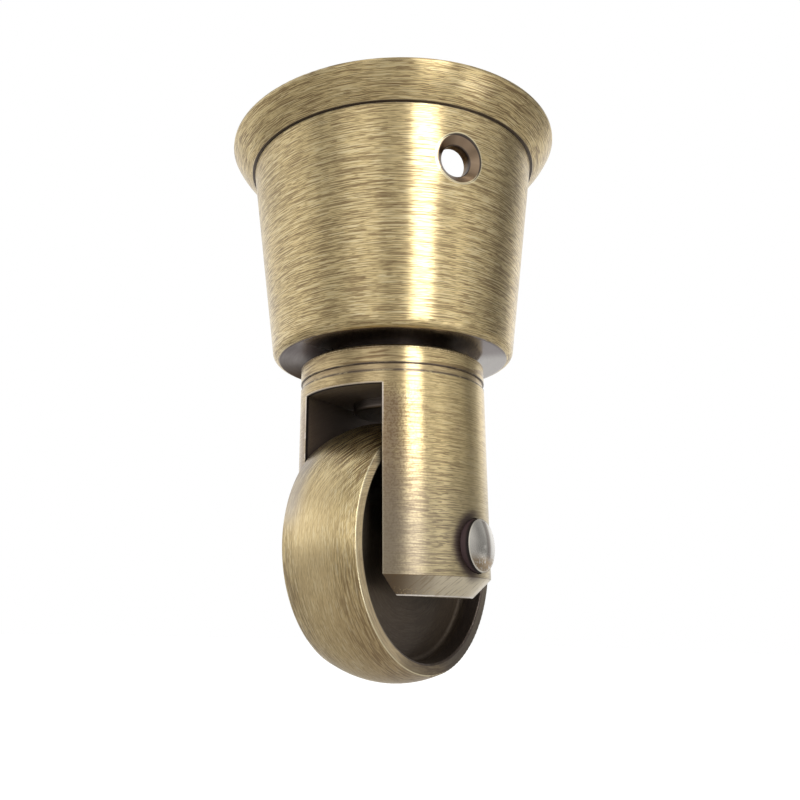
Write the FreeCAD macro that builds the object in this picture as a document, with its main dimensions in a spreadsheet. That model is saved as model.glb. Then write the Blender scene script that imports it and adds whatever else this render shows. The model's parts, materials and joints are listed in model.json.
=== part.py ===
"""Antique brass cup castor, in millimetres.

The origin is the centre of the cup's mouth. +Z runs up the swivel axis into the leg. The wheel
rolls along X on an axle that lies along Y.
"""

import FreeCAD, Part
import os
import Sketcher

PARTS_FOLDER = "parts"

# Driving sizes: name, value in millimetres or degrees, and what it measures
SIZES = [
    ("cup_height", "37.8", "underside of the cup to its mouth"),
    ("cup_foot_dia", "37.8", "outside of the cup at its underside"),
    ("cup_neck_dia", "46.4", "outside of the tapered wall just under the flange"),
    ("cup_wall", "2.8", "thickness of the tapered wall, level"),
    ("cup_floor", "3.2", "thickness of the cup's floor"),
    ("cup_foot_round", "1.3", "rounding of the outer edge of the underside"),
    ("cup_corner_round", "1.2", "rounding of the inner corner at the floor"),
    ("cup_mouth_round", "0.5", "rounding of the inner edge of the mouth"),
    ("flange_dia", "54.0", "largest diameter of the flange"),
    ("flange_height", "4.9", "depth of the flange from the mouth"),
    ("flange_step", "0.4", "how far the flange's lower edge stands off the wall"),
    ("flange_flare_radius", "12.0", "radius of the flange's bulging side"),
    ("flange_lip_round", "0.5", "rounding of the flange's outer top edge"),
    ("flange_lip_edge", "0.2", "upright edge of the flange below that rounding"),
    ("screw_hole_height", "25.3", "centre of a screw hole above the underside"),
    ("screw_hole_dia", "4.8", "through hole of a screw hole"),
    ("screw_sink_dia", "7.4", "mouth of a screw hole's countersink"),
    ("screw_sink_angle", "90", "full angle of the countersink"),
    ("screw_hole_turn", "28", "screw holes' turn from the axle's line, seen from above"),
    ("screw_hole_count", "2", "screw holes round the cup"),
    ("swivel_float", "0.1", "end float of the swivel"),
    ("thrust_washer_dia", "19.0", "outside of the washer between cup and horn"),
    ("thrust_washer_thick", "1.1", "its thickness"),
    ("king_pin_dia", "8.0", "bearing shank of the king pin"),
    ("king_pin_head_dia", "12.0", "head of the king pin, under the horn's roof"),
    ("king_pin_head_thick", "1.5", "its thickness"),
    ("king_pin_head_round", "0.5", "rounding of the head's lower edge"),
    ("king_pin_tail_dia", "6.0", "tail of the king pin, through the cup's floor"),
    ("king_pin_peen_dia", "9.0", "peened end of the king pin"),
    ("king_pin_peen_rise", "2.2", "height of the peened end"),
    ("king_washer_dia", "14.0", "outside of the washer under the peened end"),
    ("king_washer_thick", "1.2", "its thickness"),
    ("running_gap", "0.06", "radial clearance where metal turns on metal"),
    ("rivet_gap", "0.03", "radial clearance where a rivet sits tight"),
    ("horn_dia", "28.8", "outside of the horn"),
    ("horn_roof", "5.8", "thickness of the horn above the slot"),
    ("horn_end", "7.0", "axle's line to the lower end of the horn"),
    ("horn_chamfer", "2.7", "chamfer at the lower end"),
    ("horn_top_chamfer", "0.3", "small chamfer at the upper end"),
    ("horn_arris", "0.15", "small chamfer along the slot's edges"),
    ("ring_groove_drop", "2.8", "upper end of the horn to the ring groove"),
    ("ring_groove_width", "1.05", "width of the ring groove"),
    ("ring_groove_depth", "0.25", "depth of the ring groove"),
    ("slot_width", "14.0", "slot for the wheel"),
    ("wheel_dia", "38.0", "wheel, over the crown of its tread"),
    ("wheel_width", "13.0", "wheel, over its rim faces"),
    ("wheel_head_gap", "1.6", "crown of the wheel to the king pin's head"),
    ("tread_crown", "1.25", "height of the tread's crown over its edges"),
    ("rim_face_width", "1.75", "face of the rim, over the rounding of its edges"),
    ("rim_edge_round", "0.25", "rounding of the rim's edges"),
    ("dish_depth", "3.7", "rim face to the web"),
    ("dish_round", "0.7", "rounding where the dish meets the web"),
    ("hub_dia", "11.0", "wheel's hub"),
    ("hub_side_gap", "0.25", "hub to each wall of the slot"),
    ("axle_dia", "5.0", "shank of the axle"),
    ("axle_head_dia", "7.4", "head of the axle"),
    ("axle_head_edge", "1.25", "height of the head's straight edge"),
    ("axle_head_dome", "0.5", "rise of the head's dome over its edge"),
    ("axle_peen_dia", "7.0", "peened end of the axle"),
    ("axle_peen_edge", "0.7", "height of the peened end's straight edge"),
    ("axle_peen_dome", "0.8", "rise of the peened end's dome"),
    ("axle_seat_depth", "0.5", "depth of the axle's seats in the round of the horn"),
    ("axle_seat_gap", "0.15", "radial gap round the axle's head in its seat"),
]

# Levels and radii that follow from the driving sizes
NECK_RISE = "(Sizes.cup_height - Sizes.flange_height)"
WALL_SLOPE = f"((Sizes.cup_neck_dia - Sizes.cup_foot_dia) / 2 / {NECK_RISE})"
NECK_RADIUS = "Sizes.cup_neck_dia / 2"
FLOOR_RADIUS = f"Sizes.cup_foot_dia / 2 + {WALL_SLOPE} * Sizes.cup_floor - Sizes.cup_wall"
MOUTH_RADIUS = f"Sizes.cup_neck_dia / 2 + {WALL_SLOPE} * Sizes.flange_height - Sizes.cup_wall"
SCREW_FACE_RADIUS = f"Sizes.cup_foot_dia / 2 + {WALL_SLOPE} * Sizes.screw_hole_height"
SINK_DEPTH = "(Sizes.screw_sink_dia - Sizes.screw_hole_dia) / 2 / tan(Sizes.screw_sink_angle * 1deg / 2)"
CUP_LEVEL = "-Sizes.cup_height"
SWIVEL_SPACE = "(Sizes.thrust_washer_thick + Sizes.swivel_float)"
HORN_LEVEL = f"-Sizes.cup_height - {SWIVEL_SPACE}"
AXLE_DROP = "(Sizes.horn_roof + Sizes.king_pin_head_thick + Sizes.wheel_head_gap + Sizes.wheel_dia / 2)"
AXLE_LEVEL = f"{HORN_LEVEL} - {AXLE_DROP}"
HORN_LENGTH = f"({AXLE_DROP} + Sizes.horn_end)"
HORN_RADIUS = "Sizes.horn_dia / 2"
AXLE_SEAT = "(Sizes.horn_dia / 2 - Sizes.axle_seat_depth)"
HUB_HALF = "(Sizes.slot_width / 2 - Sizes.hub_side_gap)"
WEB_HALF = "(Sizes.wheel_width / 2 - Sizes.dish_depth)"
EDGE_RADIUS = "(Sizes.wheel_dia / 2 - Sizes.tread_crown)"
DISH_RADIUS = f"({EDGE_RADIUS} - Sizes.rim_face_width)"

# Cuts run this far past the surface they open
OVERRUN = "2"
MATCH = 0.001


class Model:
    """The document and its sheet of sizes."""

    def __init__(self):
        self.doc = FreeCAD.newDocument("CupCastor")
        self.sheet = self.doc.addObject("Spreadsheet::Sheet", "Sizes")
        for row, (name, value, meaning) in enumerate(SIZES, start=1):
            self.sheet.set(f"A{row}", meaning)
            self.sheet.set(f"B{row}", value)
            self.sheet.setAlias(f"B{row}", name)
        self.doc.recompute()

    def number(self, expression):
        """The present value of an expression, as a plain number."""
        value = self.sheet.evalExpression(expression)
        return float(getattr(value, "Value", value))

    def body(self, name):
        """A new sub-part, named after its node."""
        body = self.doc.addObject("PartDesign::Body", name)
        body.Label = name
        return body

    def sketch(self, body, name, role):
        """A sketch on one of the body's own origin planes."""
        sketch = body.newObject("Sketcher::SketchObject", name)
        plane = next(f for f in body.Origin.OriginFeatures if f.Role == role)
        sketch.AttachmentSupport = [(plane, "")]
        sketch.MapMode = "FlatFace"
        return sketch

    def hold(self, sketch, curve, end, across, up):
        """Holds one end of a curve at a place given by two expressions."""
        for kind, word in (("DistanceX", across), ("DistanceY", up)):
            rule = Sketcher.Constraint(kind, -1, 1, curve, end, self.number(word))
            index = sketch.addConstraint(rule)
            sketch.setExpression(f"Constraints[{index}]", word)

    def outline(self, sketch, corners):
        """A closed outline through the corners, each (across, up) or (across, up, radius of arc).

        A third value makes the stretch from that corner to the next a short arc of that radius,
        which bulges to the right of the way it runs.
        """
        places = [FreeCAD.Vector(self.number(c[0]), self.number(c[1]), 0) for c in corners]
        for index, corner in enumerate(corners):
            start = places[index]
            end = places[(index + 1) % len(places)]
            if len(corner) == 2:
                sketch.addGeometry(Part.LineSegment(start, end), False)
            else:
                self.bulge(sketch, start, end, corner[2])
        for index, corner in enumerate(corners):
            self.join(sketch, corners, index)
            self.hold(sketch, index, 1, corner[0], corner[1])

    def join(self, sketch, corners, index):
        """Joins a stretch's far end to the next one's start."""
        following = (index + 1) % len(corners)
        sketch.addConstraint(Sketcher.Constraint("Coincident", index, 2, following, 1))

    def bulge(self, sketch, start, end, radius):
        """An arc from start to end that bulges to the right of the way from start to end."""
        size = self.number(radius)
        chord = end - start
        half = chord.Length / 2
        rise = size - (size * size - half * half) ** 0.5
        outward = FreeCAD.Vector(chord.y, -chord.x, 0).normalize()
        middle = (start + end) * 0.5 + outward * rise
        index = sketch.addGeometry(Part.Arc(start, middle, end), False)
        rule = sketch.addConstraint(Sketcher.Constraint("Radius", index, size))
        sketch.setExpression(f"Constraints[{rule}]", radius)

    def turned(self, body, name, role, axis, corners):
        """A full turn of a closed outline about one of its sketch's axes."""
        sketch = self.sketch(body, f"{name}_outline", role)
        self.outline(sketch, corners)
        turn = body.newObject("PartDesign::Revolution", name)
        turn.Profile = sketch
        turn.ReferenceAxis = (sketch, [axis])
        turn.Angle = 360
        self.doc.recompute()
        return turn

    def grooved(self, body, name, sketch):
        """A full turned cut of a sketch's outline about the sketch's level axis."""
        before = body.Shape.Volume
        cut = body.newObject("PartDesign::Groove", name)
        cut.Profile = sketch
        cut.ReferenceAxis = (sketch, ["H_Axis"])
        cut.Angle = 360
        self.doc.recompute()
        require_less(before, body, name)
        return cut

    def cut_through(self, body, name, sketch):
        """A cut of a sketch's outline right through the body, both ways."""
        before = body.Shape.Volume
        cut = body.newObject("PartDesign::Pocket", name)
        cut.Profile = sketch
        cut.Type = "ThroughAll"
        cut.SideType = "Symmetric"
        self.doc.recompute()
        require_less(before, body, name)
        return cut

    def ease(self, body, kind, name, edges, size):
        """A fillet or chamfer of the named edges, its size bound to an expression."""
        base = body.Tip
        feature = body.newObject(kind, name)
        feature.Base = (base, edges)
        feature.setExpression("Radius" if kind.endswith("Fillet") else "Size", size)
        self.doc.recompute()
        return feature

    def place(self, body, level, turn=None):
        """Puts a body at its level on the swivel axis, turned about that axis if asked."""
        body.setExpression("Placement.Base.z", level)
        if turn:
            body.Placement = FreeCAD.Placement(FreeCAD.Vector(), FreeCAD.Vector(0, 0, 1), 1)
            body.setExpression("Placement.Rotation.Angle", turn)


def require_less(before, body, name):
    """Stops the build if a cut took nothing away."""
    if body.Shape.Volume >= before - MATCH:
        raise RuntimeError(f"{name} cut nothing")


def rings(shape, radius, level, axis):
    """Names of the full circular edges of a radius, about an axis, at a level along it."""
    found = []
    for index, edge in enumerate(shape.Edges, start=1):
        if edge.Degenerated or not isinstance(edge.Curve, Part.Circle):
            continue
        along = edge.Curve.Center.dot(axis)
        if abs(edge.Curve.Radius - radius) < MATCH and abs(along - level) < MATCH:
            found.append(f"Edge{index}")
    if not found:
        raise RuntimeError(f"no ring of radius {radius} at {level}")
    return found


def dome_radius(width, rise):
    """Expression for the ball radius of a low dome, from its full width and its rise."""
    return f"(({width}) ^ 2 / 4 + ({rise}) ^ 2) / (2 * ({rise}))"


def make_cup(model):
    """Turned socket with its flange, two countersunk screw holes and a hole for the king pin."""
    body = model.body("cup")
    upright = FreeCAD.Vector(0, 0, 1)
    tail_hole = "Sizes.king_pin_tail_dia / 2 + Sizes.rivet_gap"
    corners = [
        (tail_hole, "0"),
        ("Sizes.cup_foot_dia / 2", "0"),
        (NECK_RADIUS, NECK_RISE),
        (f"{NECK_RADIUS} + Sizes.flange_step", NECK_RISE, "Sizes.flange_flare_radius"),
        ("Sizes.flange_dia / 2", "Sizes.cup_height - Sizes.flange_lip_round - Sizes.flange_lip_edge"),
        ("Sizes.flange_dia / 2", "Sizes.cup_height"),
        (MOUTH_RADIUS, "Sizes.cup_height"),
        (FLOOR_RADIUS, "Sizes.cup_floor"),
        (tail_hole, "Sizes.cup_floor"),
    ]
    model.turned(body, "cup_turning", "XZ_Plane", "V_Axis", corners)
    for name, radius, level, size in (
        ("foot_round", "Sizes.cup_foot_dia / 2", "0", "Sizes.cup_foot_round"),
        ("lip_round", "Sizes.flange_dia / 2", "Sizes.cup_height", "Sizes.flange_lip_round"),
        ("mouth_round", MOUTH_RADIUS, "Sizes.cup_height", "Sizes.cup_mouth_round"),
        ("corner_round", FLOOR_RADIUS, "Sizes.cup_floor", "Sizes.cup_corner_round"),
    ):
        edges = rings(body.Shape, model.number(radius), model.number(level), upright)
        model.ease(body, "PartDesign::Fillet", name, edges, size)
    drill_screw_holes(model, body)
    model.place(body, CUP_LEVEL, "-Sizes.screw_hole_turn")


def drill_screw_holes(model, body):
    """Countersunk holes square to the tapered wall, repeated round the cup."""
    sketch = model.sketch(body, "screw_hole_outline", "YZ_Plane")
    sketch.AttachmentOffset = FreeCAD.Placement(FreeCAD.Vector(), FreeCAD.Vector(0, 0, 1), -1)
    sketch.setExpression("AttachmentOffset.Base.x", SCREW_FACE_RADIUS)
    sketch.setExpression("AttachmentOffset.Base.y", "Sizes.screw_hole_height")
    sketch.setExpression("AttachmentOffset.Rotation.Angle", f"-atan({WALL_SLOPE})")
    inside = f"-Sizes.cup_wall - {OVERRUN}"
    hole = "Sizes.screw_hole_dia / 2"
    model.outline(sketch, [
        (inside, "0"),
        (OVERRUN, "0"),
        (OVERRUN, f"Sizes.screw_sink_dia / 2 + {OVERRUN} * tan(Sizes.screw_sink_angle * 1deg / 2)"),
        (f"-({SINK_DEPTH})", hole),
        (inside, hole),
    ])
    drilling = model.grooved(body, "screw_hole", sketch)
    before = body.Shape.Volume
    pattern = body.newObject("PartDesign::PolarPattern", "screw_holes")
    pattern.Originals = [drilling]
    axis = next(f for f in body.Origin.OriginFeatures if f.Role == "Z_Axis")
    pattern.Axis = (axis, [""])
    pattern.Angle = 360
    pattern.setExpression("Occurrences", "Sizes.screw_hole_count")
    body.Tip = pattern
    model.doc.recompute()
    if model.number("Sizes.screw_hole_count") > 1:
        require_less(before, body, "screw_holes")


def make_king_pin(model):
    """Swivel rivet. Its shoulder bears on the cup, and its head carries the horn."""
    body = model.body("king_pin")
    upright = FreeCAD.Vector(0, 0, 1)
    head_top = f"-({SWIVEL_SPACE} + Sizes.horn_roof)"
    head_foot = f"{head_top} - Sizes.king_pin_head_thick"
    peen_level = "Sizes.cup_floor + Sizes.king_washer_thick"
    peen = dome_radius("Sizes.king_pin_peen_dia", "Sizes.king_pin_peen_rise")
    head = "Sizes.king_pin_head_dia / 2"
    shank = "Sizes.king_pin_dia / 2"
    tail = "Sizes.king_pin_tail_dia / 2"
    corners = [
        ("0", head_foot),
        (head, head_foot),
        (head, head_top),
        (shank, head_top),
        (shank, "0"),
        (tail, "0"),
        (tail, peen_level),
        ("Sizes.king_pin_peen_dia / 2", peen_level, peen),
        ("0", f"{peen_level} + Sizes.king_pin_peen_rise"),
    ]
    model.turned(body, "king_pin_turning", "XZ_Plane", "V_Axis", corners)
    edges = rings(body.Shape, model.number(head), model.number(head_foot), upright)
    model.ease(body, "PartDesign::Fillet", "head_round", edges, "Sizes.king_pin_head_round")
    model.place(body, CUP_LEVEL)


def make_washer(model, name, outer, inner, thick, level):
    """Flat washer, punched from sheet."""
    body = model.body(name)
    sketch = model.sketch(body, f"{name}_outline", "XY_Plane")
    centre = FreeCAD.Vector()
    upright = FreeCAD.Vector(0, 0, 1)
    for size in (outer, inner):
        index = sketch.addGeometry(Part.Circle(centre, upright, model.number(size)), False)
        sketch.addConstraint(Sketcher.Constraint("Coincident", index, 3, -1, 1))
        rule = sketch.addConstraint(Sketcher.Constraint("Radius", index, model.number(size)))
        sketch.setExpression(f"Constraints[{rule}]", size)
    pad = body.newObject("PartDesign::Pad", f"{name}_blank")
    pad.Profile = sketch
    pad.setExpression("Length", thick)
    model.doc.recompute()
    model.place(body, level)


def make_horn(model):
    """Turned bar with its slot, its king pin bore and its axle hole."""
    body = model.body("horn")
    bore = "Sizes.king_pin_dia / 2 + Sizes.running_gap"
    groove_foot = "-(Sizes.ring_groove_drop + Sizes.ring_groove_width)"
    groove_radius = f"{HORN_RADIUS} - Sizes.ring_groove_depth"
    corners = [
        (bore, f"-{HORN_LENGTH}"),
        (f"{HORN_RADIUS} - Sizes.horn_chamfer", f"-{HORN_LENGTH}"),
        (HORN_RADIUS, f"-{HORN_LENGTH} + Sizes.horn_chamfer"),
        (HORN_RADIUS, groove_foot),
        (groove_radius, groove_foot),
        (groove_radius, "-Sizes.ring_groove_drop"),
        (HORN_RADIUS, "-Sizes.ring_groove_drop"),
        (HORN_RADIUS, "-Sizes.horn_top_chamfer"),
        (f"{HORN_RADIUS} - Sizes.horn_top_chamfer", "0"),
        (bore, "0"),
    ]
    model.turned(body, "horn_turning", "XZ_Plane", "V_Axis", corners)
    mill_slot(model, body)
    bore_axle_hole(model, body)
    model.place(body, HORN_LEVEL)


def mill_slot(model, body):
    """Slot right across the horn, with a small chamfer along its mouths."""
    sketch = model.sketch(body, "slot_outline", "YZ_Plane")
    side = "Sizes.slot_width / 2"
    foot = f"-{HORN_LENGTH} - {OVERRUN}"
    model.outline(sketch, [
        (f"-{side}", foot),
        (side, foot),
        (side, "-Sizes.horn_roof"),
        (f"-{side}", "-Sizes.horn_roof"),
    ])
    model.cut_through(body, "slot", sketch)
    edges = slot_mouths(body.Shape, model.number(side), -model.number("Sizes.horn_roof"))
    model.ease(body, "PartDesign::Chamfer", "slot_arris", edges, "Sizes.horn_arris")


def slot_mouths(shape, side, roof):
    """Names of the outer edges of the slot's walls and roof, left out where they meet inside."""
    found = []
    for index, edge in enumerate(shape.Edges, start=1):
        box = edge.BoundBox
        on_wall = abs(abs(box.YMin) - side) < MATCH and box.YLength < MATCH
        on_roof = abs(box.ZMin - roof) < MATCH and box.ZLength < MATCH
        inner_corner = on_wall and on_roof
        bore = on_roof and isinstance(edge.Curve, Part.Circle) and edge.Curve.Radius < side
        if (on_wall or on_roof) and not inner_corner and not bore:
            found.append(f"Edge{index}")
    return found


def bore_axle_hole(model, body):
    """Axle hole through both ears, with a flat seat for each end of the axle."""
    sketch = model.sketch(body, "axle_hole_outline", "YZ_Plane")
    sketch.setExpression("AttachmentOffset.Base.y", f"-{AXLE_DROP}")
    hole = "Sizes.axle_dia / 2 + Sizes.rivet_gap"
    seat = "Sizes.axle_head_dia / 2 + Sizes.axle_seat_gap"
    outside = f"{HORN_RADIUS} + {OVERRUN}"
    model.outline(sketch, [
        (f"-({outside})", "0"),
        (outside, "0"),
        (outside, seat),
        (AXLE_SEAT, seat),
        (AXLE_SEAT, hole),
        (f"-{AXLE_SEAT}", hole),
        (f"-{AXLE_SEAT}", seat),
        (f"-({outside})", seat),
    ])
    model.grooved(body, "axle_hole", sketch)


def make_axle(model):
    """Rivet with a disc head at -Y and a peened end at +Y, both on the horn's seats."""
    body = model.body("axle")
    head = "Sizes.axle_head_dia / 2"
    peen = "Sizes.axle_peen_dia / 2"
    shank = "Sizes.axle_dia / 2"
    head_face = f"-({AXLE_SEAT} + Sizes.axle_head_edge)"
    peen_face = f"{AXLE_SEAT} + Sizes.axle_peen_edge"
    corners = [
        ("0", f"{head_face} - Sizes.axle_head_dome",
         dome_radius("Sizes.axle_head_dia", "Sizes.axle_head_dome")),
        (head, head_face),
        (head, f"-{AXLE_SEAT}"),
        (shank, f"-{AXLE_SEAT}"),
        (shank, AXLE_SEAT),
        (peen, AXLE_SEAT),
        (peen, peen_face, dome_radius("Sizes.axle_peen_dia", "Sizes.axle_peen_dome")),
        ("0", f"{peen_face} + Sizes.axle_peen_dome"),
    ]
    model.turned(body, "axle_turning", "XY_Plane", "V_Axis", corners)
    model.place(body, AXLE_LEVEL)


def make_wheel(model):
    """Turned wheel with a crowned tread, flat rims, a dish each side, a web and a hub."""
    body = model.body("wheel")
    level = FreeCAD.Vector(0, 1, 0)
    bore = "Sizes.axle_dia / 2 + Sizes.running_gap"
    hub = "Sizes.hub_dia / 2"
    rim = "Sizes.wheel_width / 2"
    rounding = "Sizes.rim_edge_round"
    tread_half = f"({rim} - {rounding})"
    corners = [
        (bore, f"-{HUB_HALF}"),
        (hub, f"-{HUB_HALF}"),
        (hub, f"-{WEB_HALF}"),
        (DISH_RADIUS, f"-{WEB_HALF}"),
        (DISH_RADIUS, f"-{rim}"),
        (f"{EDGE_RADIUS} - {rounding}", f"-{rim}", rounding),
        (EDGE_RADIUS, f"-{tread_half}", dome_radius(f"2 * {tread_half}", "Sizes.tread_crown")),
        (EDGE_RADIUS, tread_half, rounding),
        (f"{EDGE_RADIUS} - {rounding}", rim),
        (DISH_RADIUS, rim),
        (DISH_RADIUS, WEB_HALF),
        (hub, WEB_HALF),
        (hub, HUB_HALF),
        (bore, HUB_HALF),
    ]
    model.turned(body, "wheel_turning", "XY_Plane", "V_Axis", corners)
    for name, radii, along, size in (
        ("dish_rounds", (DISH_RADIUS, hub), WEB_HALF, "Sizes.dish_round"),
        ("rim_rounds", (DISH_RADIUS,), rim, rounding),
    ):
        edges = []
        for radius in radii:
            for way in (-1, 1):
                edges += rings(body.Shape, model.number(radius), way * model.number(along), level)
        model.ease(body, "PartDesign::Fillet", name, edges, size)
    model.place(body, AXLE_LEVEL)


def check(model):
    """Stops the build if any object failed or any sub-part's shape isn't sound."""
    model.doc.recompute()
    for item in model.doc.Objects:
        if "Invalid" in item.State or "Error" in item.State:
            raise RuntimeError(f"{item.Label} failed: {item.State}")
    for body in bodies(model):
        if body.Shape.isNull() or not body.Shape.isValid() or len(body.Shape.Solids) != 1:
            raise RuntimeError(f"{body.Label} has no sound solid")


def bodies(model):
    """Every sub-part of the document."""
    return [item for item in model.doc.Objects if item.TypeId == "PartDesign::Body"]


def write(model):
    """Writes each sub-part under its own name."""
    os.makedirs(PARTS_FOLDER, exist_ok=True)
    for body in bodies(model):
        body.Shape.exportStep(os.path.join(PARTS_FOLDER, f"{body.Label}.step"))
        box = body.Shape.BoundBox
        print(f"{body.Label}: {body.Shape.Volume:.1f} mm3, z {box.ZMin:.2f} to {box.ZMax:.2f}")


def main():
    model = Model()
    make_cup(model)
    make_king_pin(model)
    make_washer(
        model, "king_pin_washer", "Sizes.king_washer_dia / 2",
        "Sizes.king_pin_tail_dia / 2 + Sizes.rivet_gap", "Sizes.king_washer_thick",
        f"{CUP_LEVEL} + Sizes.cup_floor",
    )
    make_washer(
        model, "thrust_washer", "Sizes.thrust_washer_dia / 2",
        "Sizes.king_pin_dia / 2 + Sizes.running_gap", "Sizes.thrust_washer_thick", HORN_LEVEL,
    )
    make_horn(model)
    make_axle(model)
    make_wheel(model)
    check(model)
    write(model)


main()
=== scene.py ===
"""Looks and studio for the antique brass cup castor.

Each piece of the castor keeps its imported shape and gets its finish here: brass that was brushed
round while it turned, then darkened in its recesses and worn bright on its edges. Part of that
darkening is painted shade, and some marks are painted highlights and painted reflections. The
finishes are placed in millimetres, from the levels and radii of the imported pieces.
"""

import json
import math
import bmesh
import bpy
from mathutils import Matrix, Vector


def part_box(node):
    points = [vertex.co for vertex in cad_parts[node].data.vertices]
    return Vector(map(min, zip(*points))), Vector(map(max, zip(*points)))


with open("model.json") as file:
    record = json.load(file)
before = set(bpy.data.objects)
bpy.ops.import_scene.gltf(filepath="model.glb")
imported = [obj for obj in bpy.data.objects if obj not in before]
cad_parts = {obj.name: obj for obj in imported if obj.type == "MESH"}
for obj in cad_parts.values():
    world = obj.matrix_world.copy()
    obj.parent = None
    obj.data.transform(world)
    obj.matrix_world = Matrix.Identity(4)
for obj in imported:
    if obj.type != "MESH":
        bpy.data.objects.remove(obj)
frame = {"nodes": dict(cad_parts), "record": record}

bl_info = {
    "name": "Antique Brass Cup Castor",
    "version": (1, 0, 0),
    "blender": (4, 5, 0),
    "location": "View3D > Sidebar > Castor",
    "description": "Finishes the pieces of a brass cup castor and sets up its studio",
    "category": "Material",
}

MM = 0.001

# Levels and radii that the finishes follow, in millimetres
CUP_FOOT, CUP_MOUTH = (corner.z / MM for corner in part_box("cup"))
FLANGE_FOOT = CUP_MOUTH - 4.9
SINK_RADIUS = 3.7  # a countersink at the cup's skin
BORE_RADIUS = 2.4  # the screw hole under it
HORN_FOOT, HORN_TOP = (corner.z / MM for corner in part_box("horn"))
GROOVE_TOP = HORN_TOP - 2.8
GROOVE_FOOT = HORN_TOP - 3.85
CHAMFER_TOP = HORN_FOOT + 2.7
CHAMFER_RADIUS = 11.7  # where the chamfer ends at the foot
HORN_RADIUS = 14.4
SLOT_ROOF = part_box("king_pin")[0].z / MM + 1.5
SLOT_SIDE = 7.0  # from the middle of the slot
AXLE_LEVEL = sum(corner.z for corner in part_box("axle")) / 2 / MM
AXLE_HEAD = 3.7  # its radius
WHEEL_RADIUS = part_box("wheel")[1].x / MM
RIM_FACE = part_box("wheel")[1].y / MM
RIM_EDGE = WHEEL_RADIUS - 1.49  # where the rim's face meets its rounded edge
DISH_RADIUS = WHEEL_RADIUS - 2.65

# A cone just inside the cup's wall: its radius at the mouth, and how it narrows downwards
SKIN_RADIUS = 21.45
SKIN_SLOPE = 4.3 / 32.9

# The lines that the turned pieces were brushed round: a point and a direction
SWIVEL_LINE = ((0.0, 0.0, 0.0), (0.0, 0.0, 1.0))
AXLE_LINE = ((0.0, 0.0, AXLE_LEVEL), (0.0, 1.0, 0.0))
ALONG_AXLE = (math.radians(90), 0.0, 0.0)

# Level directions towards the photograph's camera, and to the right as it sees the castor
CAMERA_SIDE = Vector((-0.7580, -0.6523, 0.0))
CAMERA_RIGHT = Vector((0.6523, -0.7580, 0.0))

# The shader's shares of one: how rough the clear film is, and the strokes' turn from the tangent
COAT_ROUGHNESS = 0.25
QUARTER_TURN = 0.25

# The floor's radius in metres, and its own light as the camera and as the metal see it
FLOOR_RADIUS = 4.0
CAMERA_LIFT = 0.80
MIRROR_LIFT = 0.44

# Brightness of the studio's panels by their angle to the right of the camera's side, in degrees
ROOM = (
    (-145, 0.88), (-118, 0.88), (-92, 1.02), (-76, 0.80), (-62, 0.49), (-50, 0.63),
    (-36, 1.12), (-20, 1.20), (-9, 0.62), (2, 0.66), (45, 0.86), (62, 0.80), (74, 0.60),
    (84, 0.49), (101, 0.20), (116, 0.30), (134, 1.0),
)


def around(angle, height=0.0):
    """A direction, as an angle to the right of the camera's side and a height above level."""
    turn, lift = math.radians(angle), math.radians(height)
    level = CAMERA_SIDE * math.cos(turn) + CAMERA_RIGHT * math.sin(turn)
    return level * math.cos(lift) + Vector((0, 0, 1)) * math.sin(lift)


def rgba(colour):
    """A colour with its full cover."""
    return (*colour[:3], 1.0)


def mount_line(name):
    """The point, in millimetres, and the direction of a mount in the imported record."""
    mount = next(m for m in frame["record"]["mounts"] if m["name"] == name)
    return Vector(mount["pos_m"]) / MM, Vector(mount["axis"]).normalized()


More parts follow.
